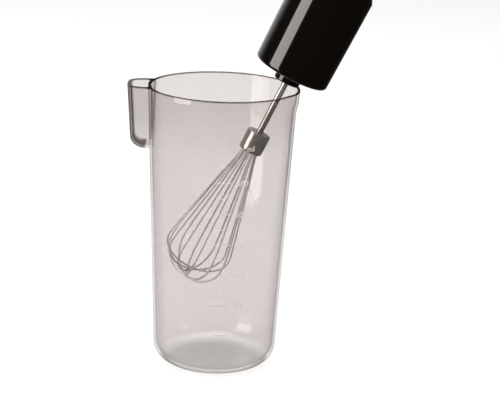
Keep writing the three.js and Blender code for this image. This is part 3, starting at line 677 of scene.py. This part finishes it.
def pocket_skin(inset, floor, top, levels=26, around=12):
    """A bmesh of the pocket: a D-shaped section that narrows downwards and rounds in at its foot."""
    half_width = POCKET["width"] / 2 - inset
    reach = POCKET["depth"] - inset
    corner = POCKET["corner"] - inset
    root = POCKET["root"]
    outline = [(root, -half_width), (root, half_width), (-reach / 2 + 3, half_width)]
    outline += arc(-reach + corner, half_width - corner, corner, 90, 180, around)
    outline += arc(-reach + corner, -half_width + corner, corner, 180, 270, around)
    outline += [(-reach / 2 + 3, -half_width)]
    foot = BEAKER_HEIGHT - POCKET["height"] + floor
    bow = POCKET["round"] - inset / 2
    bm = bmesh.new()
    rings = []
    for i in range(levels + 1):
        rise = (i / levels) ** 2
        z = foot + (top - foot) * rise
        climb = min(1.0, (z - foot) / bow)
        shrink = bow * (1 - math.sqrt(climb * (2 - climb))) + POCKET["draft"] * (1 - rise)
        ring = []
        for x, y in outline:
            across = y * (1 - shrink / (2 * half_width))
            wall_x = -math.sqrt(beaker_radius(z) ** 2 - across ** 2)
            along = wall_x + x if x > 0 else x * (1 - shrink / reach) - RIM_RADIUS
            ring.append(bm.verts.new(Vector((along, across, z)) * MM))
        rings.append(ring)
    count = len(outline)
    for low, high in zip(rings, rings[1:]):
        for k in range(count):
            n = (k + 1) % count
            bm.faces.new((low[k], low[n], high[n], high[k]))
    bm.faces.new(rings[0])
    bm.faces.new(rings[-1])
    bmesh.ops.recalc_face_normals(bm, faces=bm.faces)
    return bm


def make_beaker():
    lip = BEAKER_WALL / 2
    middle = beaker_radius(BEAKER_HEIGHT) - lip
    outside = beaker_skin(0, 0)
    inside = beaker_skin(BEAKER_WALL, BEAKER_FLOOR)
    bead = arc(middle, BEAKER_HEIGHT - lip, lip, 0, 180, 8)
    profile = outside[:-1] + bead + inside[:-1][::-1]
    segments = 180
    body = as_object("beaker_body", turned_mesh(profile, segments, spout_push), UPRIGHT)

    pocket = as_object("pocket", pocket_skin(0, 0, BEAKER_HEIGHT), UPRIGHT)
    inner_wall = inside[:-1] + [(middle - lip, BEAKER_HEIGHT + 2), (0, BEAKER_HEIGHT + 2)]
    bore = as_object("bore", turned_mesh(inner_wall, segments, spout_push), UPRIGHT)
    boolean(pocket, bore, "DIFFERENCE")
    hollow = as_object("hollow", pocket_skin(POCKET["wall"], POCKET["wall"], BEAKER_HEIGHT + 2), UPRIGHT)
    outer_wall = outside[:-1] + [(middle + lip, BEAKER_HEIGHT + 3), (0, BEAKER_HEIGHT + 3)]
    full = as_object("full", turned_mesh(outer_wall, segments, spout_push), UPRIGHT)
    boolean(hollow, full, "DIFFERENCE")
    boolean(body, pocket, "UNION")
    boolean(body, hollow, "DIFFERENCE", 32)
    piece(body, "beaker", "clear_plastic", LOOKS["clear_plastic"], "beaker")


def wrapped(obj, stand):
    """Wraps a flat mesh, drawn in metres with x across and y up, round the beaker's front."""
    for vertex in obj.data.vertices:
        z = vertex.co.y / MM
        radius = beaker_radius(z) + stand + vertex.co.z / MM
        angle = vertex.co.x / MM / beaker_radius(z) - math.pi / 2
        vertex.co = Vector((radius * math.cos(angle), radius * math.sin(angle), z)) * MM


def label(name, text, x, y, height, depth):
    """Generic lettering as a mesh, its left end at x, y, in millimetres."""
    curve = bpy.data.curves.new(name, "FONT")
    curve.body = text
    curve.size = height * MM * 1.35
    curve.extrude = depth * MM / 2
    curve.resolution_u = 3
    text_object = bpy.data.objects.new(name, curve)
    bpy.context.scene.collection.objects.link(text_object)
    bpy.context.view_layer.update()
    graph = bpy.context.evaluated_depsgraph_get()
    mesh = bpy.data.meshes.new_from_object(text_object.evaluated_get(graph))
    bpy.data.objects.remove(text_object)
    mesh.transform(Matrix.Translation((x * MM, (y - height / 2) * MM, 0)))
    return mesh


def make_scale():
    """The beaker's volume scale: ticks and round numbers, printed on the front of the wall."""
    ink = print_ink("scale_ink", (0.50, 0.48, 0.47), (0.62, 0.60, 0.59))
    bm = bmesh.new()
    depth = SCALE["depth"]
    for i in range(2 * SCALE["numbers"]):
        y = SCALE["low"] + SCALE["pitch"] * i / 2
        length = SCALE["short"] if i % 2 else SCALE["long"]
        centre = (SCALE["tick_x"] + length / 2, y, 0)
        absorb(bm, block_mesh(centre, (length, SCALE["line"], depth), 0.04))
    letters = []
    for i in range(SCALE["numbers"]):
        letters.append((str((i + 1) * 100), SCALE["number_x"], SCALE["pitch"] * i))
    unit_rise = SCALE["pitch"] * SCALE["numbers"] + SCALE["unit_rise"]
    letters.append(("ml", SCALE["unit_x"], unit_rise))
    for text, x, rise in letters:
        mesh = label("letters", text, x, SCALE["low"] + rise, SCALE["letter"], depth)
        bm.from_mesh(mesh)
        bpy.data.meshes.remove(mesh)
    scale = as_object("beaker_scale", bm, UPRIGHT)
    wrapped(scale, depth / 2 + SCALE["gap"])
    piece(scale, "beaker", "clear_plastic", ink)


# ---- Whisk ---------------------------------------------------------------------------------------
def wire_path(order):
    """One loop in its own plane: up one leg, round the tip and down the other, in metres."""
    drop = order * WHISK["nest"]
    mouth = FERRULE_TOP - FERRULE["length"]
    belly = WHISK["belly"] - drop / 2
    tip = WHISK["tip"] + (WHISK["loops"] - 1) * WHISK["nest"] - drop
    half = [(WHISK["leg_radius"], FERRULE_TOP - 5), (WHISK["leg_radius"], mouth - 0.5)]
    for share in (0.3, 0.6, 0.85):
        z = mouth + (belly - mouth) * share
        half.append((WHISK["leg_radius"] + (mouth - z) * math.tan(math.radians(WHISK["fan"])), z))
    for i in range(6):
        angle = i * math.pi / 12
        half.append((WHISK["max_radius"] * math.cos(angle), belly - (belly - tip) * math.sin(angle)))
    outline = half + [(0, tip)] + [(-r, z) for r, z in reversed(half)]
    turn = Matrix.Rotation(order * math.pi / WHISK["loops"], 4, "Z")
    return catmull_rom([turn @ Vector((r, 0, z)) * MM for r, z in outline])


def make_ferrule():
    """The bell that holds the wire ends: closed round the stem above, open and drawn in below."""
    top = FERRULE_TOP
    foot = top - FERRULE["length"]
    waist = foot + FERRULE["taper_height"]
    outer = FERRULE["radius"]
    inner = outer - FERRULE["wall"]
    hole = STEM_RADIUS + FERRULE["stem_gap"]
    outline = [
        (hole, top - 1.0),
        (hole, top, 0.25),
        (outer, top, 0.45),
        (outer, waist, 0.6),
        (outer - FERRULE["taper"], foot, 0.3),
        (inner - FERRULE["taper"], foot, 0.2),
        (inner, waist, 0.6),
        (inner, top - 1.0, 0.8),
        (hole, top - 1.0),
    ]
    ferrule = as_object("ferrule", turned_mesh(filleted(outline)[:-1], 96))
    piece(ferrule, "whisk", "polished_steel", LOOKS["polished_steel"], "whisk_ferrule")


def make_stem():
    """The stem, with the neck that the spring clip holds near its top."""
    foot = FERRULE_TOP - FERRULE["length"]
    outline = [
        (0, foot + 2),
        (STEM_RADIUS - 0.2, foot + 2, 0.3),
        (STEM_RADIUS, foot + 3, 0.3),
        (STEM_RADIUS, NECK["low"] - NECK["slope"], 0.1),
        (NECK["radius"], NECK["low"], 0.1),
        (NECK["radius"], NECK["high"], 0.1),
        (STEM_RADIUS, NECK["high"] + NECK["slope"], 0.1),
        (STEM_RADIUS, STEM_TOP - 1, 0.3),
        (1.2, STEM_TOP, 0.2),
        (0, STEM_TOP),
    ]
    stem = as_object("stem", turned_mesh(filleted(outline, 4), 48))
    piece(stem, "whisk", "polished_steel", LOOKS["polished_steel"], "whisk_stem")


def make_whisk():
    for i in range(WHISK["loops"]):
        wire = as_object(f"whisk_wire_{i + 1}", tube_mesh(wire_path(i), WHISK["wire"] * MM))
        piece(wire, "whisk", "polished_steel", LOOKS["bright_wire"], f"wire_loop_{i + 1}")
    make_ferrule()
    make_stem()


# ---- Gear holder ---------------------------------------------------------------------------------
def make_gear_holder():
    h = HOLDER
    wall = h["wall"]

    def inner_at(z):
        return h["radius"] + (h["top_radius"] - h["radius"]) * z / h["height"] - wall

    outline = [
        (h["bore_radius"], SEAL["top"]),
        (h["bore_radius"], -h["boss_length"], 0.25),
        (h["boss_radius"], -h["boss_length"], 0.8),
        (h["boss_radius"], 0, 0.5),
        (h["radius"], 0, h["edge"]),
        (h["top_radius"], h["height"], 1.4),
        (h["lip_radius"], h["lip_height"], 0.5),
        (h["lip_radius"] - wall, h["lip_height"], 0.5),
        (inner_at(h["height"]), h["height"] - 1, 1.0),
        (inner_at(h["seat_high"]), h["seat_high"], 0.2),
        (h["seat_radius"], h["seat_high"], 0.3),
        (h["seat_radius"], h["seat_low"], 0.3),
        (inner_at(9), 9, 0.5),
        (inner_at(wall), wall + 1, 1.5),
        (h["boss_radius"], wall + 0.5, 0.5),
        (h["boss_radius"], h["bore_top"], 0.4),
        (h["bore_radius"], h["bore_top"], 0.2),
        (h["bore_radius"], SEAL["top"]),
    ]
    housing = as_object("gear_holder", turned_mesh(filleted(outline, 7)[:-1], 160))
    piece(housing, "gear_holder", "black_gloss", LOOKS["black_gloss"], "gear_holder_housing")


def make_shaft_seal():
    top = SEAL["top"]
    foot = top - SEAL["height"]
    outline = [
        (SEAL["inner"], top),
        (SEAL["inner"], foot + 0.4, 0.3),
        (SEAL["lip"], foot, 0.3),
        (SEAL["outer"], foot, 0.2),
        (SEAL["outer"], top, 0.2),
        (SEAL["inner"], top),
    ]
    seal = as_object("lip_seal", turned_mesh(filleted(outline, 4)[:-1], 64))
    piece(seal, "gear_holder", "soft_black", LOOKS["soft_black"], "shaft_seal")


# ---- Handset -------------------------------------------------------------------------------------
CASING_CURVE = [(p.x, p.y) for p in catmull_rom([Vector(p) for p in CASING], 12)]


def casing_radius(z):
    for (r0, z0), (r1, z1) in zip(CASING_CURVE, CASING_CURVE[1:]):
        if z0 <= z <= z1:
            return r0 + (r1 - r0) * (z - z0) / (z1 - z0)
    return CASING_CURVE[0][0] if z < CASING_FOOT else CASING_CURVE[-1][0]


def casing_run(low, high, inset, steps):
    """Points up the casing between two heights, moved inwards by an inset."""
    heights = [low + (high - low) * i / steps for i in range(steps + 1)]
    return [(casing_radius(z) - inset, z) for z in heights]


def well(radius, lip, depth, reach):
    """A cutter for a round hole with a softened mouth. Its axis is Z and the surface is at reach."""
    outline = [(0, depth), (radius, depth), (radius, reach - lip)]
    outline += arc(radius + lip, reach - lip, lip, 180, 90, 6)
    outline += [(radius + lip, reach + 4), (0, reach + 4)]
    return turned_mesh(outline, 64)


def make_casing():
    edge = 0.5
    outer = [(casing_radius(CASING_FOOT) - edge, CASING_FOOT)]
    outer += casing_run(CASING_FOOT + edge, GRIP_LOW - edge, 0, 24)
    outer += [(casing_radius(GRIP_LOW) - edge, GRIP_LOW)]
    outer += casing_run(GRIP_LOW, GRIP_HIGH, GRIP_DEPTH, 20)
    outer += [(casing_radius(GRIP_HIGH) - edge, GRIP_HIGH)]
    outer += casing_run(GRIP_HIGH + edge, CAP_SEAM - edge, 0, 16)
    outer += [(casing_radius(CAP_SEAM) - edge, CAP_SEAM)]
    inner = casing_run(CASING_FOOT, GRIP_LOW - 4, CASING_WALL, 10)
    inner += casing_run(GRIP_LOW - 2, GRIP_HIGH + 2, CASING_WALL + GRIP_DEPTH, 8)
    inner += casing_run(GRIP_HIGH + 4, CAP_SEAM, CASING_WALL, 6)
    casing = as_object("casing", turned_mesh(outer + inner[::-1], 144))
    for z in BUTTON_PLACES.values():
        cutter = as_object("cutter", along_x(well(BUTTON_RADIUS + 0.45, 0.7, 12, casing_radius(z)), z))
        boolean(casing, cutter, "DIFFERENCE")
    for side in (-1, 1):
        hole = well(5.45, 0.6, 12, casing_radius(RELEASE_PLACE))
        cutter = as_object("cutter", along_y(hole, RELEASE_PLACE, side))
        boolean(casing, cutter, "DIFFERENCE")
    piece(casing, "handset", "black_gloss", LOOKS["black_gloss"], "handset_casing")


def make_grip():
    """The soft sleeve, with a band of grooves that ends in plain collars."""
    low, high = GRIP_LOW + 0.2, GRIP_HIGH - 0.2
    grooved_low, grooved_high = low + 7, high - 7
    pitch = 3.4
    depth = 0.55
    count = int((grooved_high - grooved_low) / pitch)
    steps = 6
    skin = [(casing_radius(low) - 0.5, low), (casing_radius(low) - 0.12, low + 0.15)]
    skin += casing_run(low + 0.5, grooved_low, 0, 4)
    for i in range(1, count * steps):
        z = grooved_low + pitch * i / steps
        dip = depth * (0.5 - 0.5 * math.cos(2 * math.pi * i / steps)) ** 2
        skin.append((casing_radius(z) - dip, z))
    skin += casing_run(grooved_low + pitch * count, high - 0.5, 0, 4)
    skin += [(casing_radius(high) - 0.12, high - 0.15), (casing_radius(high) - 0.5, high)]
    back = casing_run(low, high, GRIP_DEPTH - 0.2, 16)[::-1]
    grip = as_object("soft_grip", turned_mesh(skin + back, 128), sharp=60)
    piece(grip, "handset", "soft_black", LOOKS["soft_black"], "grip_sleeve")


def make_top_cap():
    seam = CAP_SEAM + 0.3
    outline = [
        (22.2, seam),
        (24.8, seam, 0.5),
        (24.75, 222),
        (24.4, 229),
        (23.9, 235, 3.0),
        (21.0, 242.0, 5.0),
        (15.5, 244.4, 2.0),
        (13.5, 244.6, 0.4),
        (13.5, 243.6, 0.3),
        (11.0, 243.6, 0.3),
        (11.0, 242.0, 0.3),
        (15.0, 242.0, 2.0),
        (21.6, 233.0, 3.0),
        (22.2, seam),
    ]
    cap = as_object("end_cap", turned_mesh(filleted(outline, 8)[:-1], 144))
    inlet_hole = along_x(well(4.15, 0.5, -30, -24.4), INLET_PLACE)
    boolean(cap, as_object("cutter", inlet_hole), "DIFFERENCE")
    piece(cap, "handset", "black_gloss", LOOKS["black_gloss"], "top_cap")


def make_cord_inlet():
    """The rubber inlet that a cord would pass through, ribbed outside and open down the middle."""
    outline = [
        (2.4, 17.6, 0.3), (6.0, 17.6, 0.3), (6.0, 20.4, 0.3), (4.0, 20.6), (4.0, 25.1),
        (6.0, 25.2, 0.5), (6.0, 28.0, 0.8), (4.1, 28.4, 0.2), (4.1, 29.2, 0.2), (4.9, 29.5, 0.3),
        (4.9, 30.5, 0.3), (3.9, 30.8, 0.2), (3.9, 31.5, 0.2), (4.5, 31.8, 0.3), (4.5, 32.7, 0.3),
        (3.7, 33.0, 0.2), (3.7, 34.0, 0.4), (2.4, 34.0, 0.5), (2.4, 17.6, 0.3),
    ]
    bm = turned_mesh(filleted(outline, 4)[:-1], 64)
    bmesh.ops.rotate(bm, matrix=Matrix.Rotation(math.pi / 2, 3, "Y"), verts=bm.verts)
    bmesh.ops.translate(bm, vec=(0, 0, INLET_PLACE * MM), verts=bm.verts)
    inlet = as_object("cord_gland", bm)
    piece(inlet, "handset", "soft_black", LOOKS["soft_black"], "cord_inlet")


def make_buttons():
    """Two round thumb buttons: the first with a sunk dot, the second with three raised bars."""
    rim = BUTTON_REACH
    flange = BUTTON_RADIUS + 1.4
    for name, z in BUTTON_PLACES.items():
        dish = 1.0 if name == "on" else 0.35
        outline = [
            (0, rim - dish),
            (1.6, rim - dish * 0.93),
            (3.4, rim - dish * 0.6),
            (5.0, rim - dish * 0.15),
            (5.9, rim, 0.6),
            (BUTTON_RADIUS, rim - 0.8, 0.6),
            (BUTTON_RADIUS, 19.6),
            (flange, 19.6),
            (flange, 18.5),
            (2.0, 18.5),
            (2.0, 17.7),
            (0, 17.7),
        ]
        bm = along_x(turned_mesh(filleted(outline, 5), 72), z)
        button = as_object(f"{name}_thumb_button", bm)
        piece(button, f"{name}_button", "soft_black", LOOKS["soft_black"], f"{name}_button")
        if name == "on":
            dot = [(0, 25.2), (1.1, 25.2, 0.2), (1.1, 25.75, 0.25), (0, 25.8)]
            mark = along_x(turned_mesh(filleted(dot, 4), 32), z)
        else:
            mark = bmesh.new()
            for offset in (-2.0, 0.0, 2.0):
                absorb(mark, block_mesh((-26.1, 0, z + offset), (0.7, 5.2, 0.8), 0.25))
        pip = as_object(f"{name}_button_mark", mark)
        piece(pip, f"{name}_button", "grey_plastic", LOOKS["grey_plastic"])


def make_release_buttons():
    """A button on each side near the foot, with three raised bars and the arm that frees its latch."""
    bars_radius = 3.7
    outline = [(0, 22.25), (3.0, 22.2), (4.2, 22.0, 0.6), (5.0, 21.4, 0.6), (5.0, 17.5, 0.2), (0, 17.5)]
    for name, side in (("left", -1), ("right", 1)):
        pad = along_y(turned_mesh(filleted(outline, 5), 64), RELEASE_PLACE, side)
        for offset in (-2.2, 0.0, 2.2):
            width = 2 * math.sqrt(bars_radius ** 2 - offset ** 2)
            absorb(pad, block_mesh((0, side * 22.15, RELEASE_PLACE + offset), (width, 0.5, 0.8), 0.2))
        absorb(pad, block_mesh((0, side * 17.2, RELEASE_PLACE - 1), (6, 1.2, 11), 0.3))
        node = f"release_button_{name}"
        piece(as_object(f"release_pad_{name}", pad), node, "grey_plastic", LOOKS["grey_plastic"], node)


def make_speed_dial():
    """The dial on top: scalloped round its edge, with a raised pointer on its face."""
    scallops = 24

    def scallop(x, y, z):
        radius = math.hypot(x, y)
        if radius < 11.5 or z < 245.4:
            return x, y, z
        dip = 0.45 * max(0.0, math.cos(scallops * math.atan2(y, x))) ** 2
        return x * (1 - dip / radius), y * (1 - dip / radius), z

    outline = [
        (2.5, 248.0), (2.5, 245.1, 0.2), (12.3, 245.1, 0.3), (12.4, 246.0), (12.4, 247.0), (12.4, 248.0),
        (12.3, 249.6, 0.9), (11.0, 250.6, 0.6), (9.6, 250.3, 0.4), (9.0, 249.7, 0.4), (0, 249.7),
    ]
    bottom = [(0, 248.0)]
    bm = turned_mesh(bottom + filleted(outline, 5), 288, scallop)
    absorb(bm, block_mesh((6.6, 0, 250.1), (6.0, 1.4, 1.3), 0.35))
    dial = as_object("dial", bm)
    piece(dial, "speed_dial", "grey_plastic", LOOKS["grey_plastic"], "speed_dial")


# ---- CAD nodes that stay --------------------------------------------------------------------------
def dress_cad_nodes():
    slots = {part["node"]: part["material_slot"] for part in frame["record"]["subparts"]}
    for name, obj in frame["nodes"].items():
        if obj.hide_render:
            continue
        obj.data.materials.clear()
        obj.data.materials.append(LOOKS[slots[name]])
        bevel = obj.modifiers.new("edges", "BEVEL")
        bevel.width = 0.15 * MM
        bevel.segments = 2
        bevel.limit_method = "ANGLE"
        bevel.angle_limit = math.radians(40)


# ---- Stage ----------------------------------------------------------------------------------------
def make_stage():
    bm = bmesh.new()
    bmesh.ops.create_grid(bm, x_segments=8, y_segments=8, size=6)
    floor = as_object("floor", bm, UPRIGHT)
    floor.location.z = -0.0003  # just under the beaker's base
    look = Look("floor_look", Roughness=0.9)
    look.colour(look.blend(look.noise(0.6, 2), (0.93, 0.93, 0.93), (0.95, 0.95, 0.95)))
    floor.data.materials.append(look.material)
    floor.visible_glossy = False


def make_world():
    """A white studio, which shiny surfaces see as dark apart from a pale wall at the back left."""
    world = bpy.data.worlds.new("studio")
    bpy.context.scene.world = world
    world.use_nodes = True
    nodes, links = world.node_tree.nodes, world.node_tree.links
    nodes.clear()

    def mapped(source, start, end, low, high, course):
        node = nodes.new("ShaderNodeMapRange")
        node.interpolation_type = course
        for key, value in {"From Min": start, "From Max": end, "To Min": low, "To Max": high}.items():
            node.inputs[key].default_value = value
        links.new(source, node.inputs["Value"])
        return node.outputs["Result"]

    place = nodes.new("ShaderNodeTexCoord")
    split = nodes.new("ShaderNodeSeparateXYZ")
    links.new(place.outputs["Generated"], split.inputs["Vector"])
    seen = nodes.new("ShaderNodeMath")
    seen.operation = "MULTIPLY"
    links.new(mapped(split.outputs["Y"], 0.35, 0.95, 0.009, 0.9, "SMOOTHSTEP"), seen.inputs[0])
    links.new(mapped(split.outputs["X"], 0.0, 0.4, 1.0, 0.04, "LINEAR"), seen.inputs[1])
    rays = nodes.new("ShaderNodeLightPath")
    mirrored = nodes.new("ShaderNodeMix")
    mirrored.inputs["A"].default_value = 1.0
    links.new(rays.outputs["Is Glossy Ray"], mirrored.inputs["Factor"])
    links.new(seen.outputs["Value"], mirrored.inputs["B"])
    glow = nodes.new("ShaderNodeBackground")
    links.new(mirrored.outputs["Result"], glow.inputs["Strength"])
    output = nodes.new("ShaderNodeOutputWorld")
    links.new(glow.outputs["Background"], output.inputs["Surface"])


def soft_light(name, direction, distance, width, height, watts, colour=(1.0, 1.0, 1.0)):
    """A soft box that faces the beaker's rim from a direction."""
    target = Vector((0.02, 0, 0.15))
    data = bpy.data.lights.new(name, "AREA")
    data.shape = "RECTANGLE"
    data.size = width
    data.size_y = height
    data.energy = watts
    data.color = colour
    lamp = bpy.data.objects.new(name, data)
    lamp.location = target + Vector(direction).normalized() * distance
    lamp.rotation_euler = (target - lamp.location).to_track_quat("-Z", "Y").to_euler()
    bpy.context.scene.collection.objects.link(lamp)


def make_lights():
    soft_light("key", (-0.87, -0.46, 0.20), 1.6, 0.88, 1.5, 22, (1.0, 0.955, 0.92))
    soft_light("fill", (0.90, -0.42, 0.32), 1.8, 0.5, 0.8, 3)
    soft_light("top", (0.0, 0.1, 1.0), 1.8, 1.6, 1.6, 16)


# Metres and degrees; width is what the picture takes in across the target.
CAMERA = {
    "target": (0.0189, 0.0, 0.0963),
    "distance": 1.0,
    "width": 0.303,
    "elevation": 16.0,
    "roll": 2.4,
}


def make_camera():
    data = bpy.data.cameras.new("camera")
    data.sensor_width = 36
    data.lens = data.sensor_width * CAMERA["distance"] / CAMERA["width"]
    data.clip_end = 50
    camera = bpy.data.objects.new("camera", data)
    rise = math.radians(CAMERA["elevation"])
    back = Vector((0, -math.cos(rise), math.sin(rise)))
    camera.location = Vector(CAMERA["target"]) + back * CAMERA["distance"]
    look = (-back).to_track_quat("-Z", "Y").to_matrix()
    camera.rotation_euler = (look @ Matrix.Rotation(math.radians(CAMERA["roll"]), 3, "Z")).to_euler()
    bpy.context.scene.collection.objects.link(camera)
    bpy.context.scene.camera = camera
    bpy.context.scene.view_settings.view_transform = "Standard"


make_camera()
make_beaker()
make_scale()
make_whisk()
make_gear_holder()
make_shaft_seal()
make_casing()
make_grip()
make_top_cap()
make_cord_inlet()
make_buttons()
make_release_buttons()
make_speed_dial()
dress_cad_nodes()
make_stage()
make_world()
make_lights()
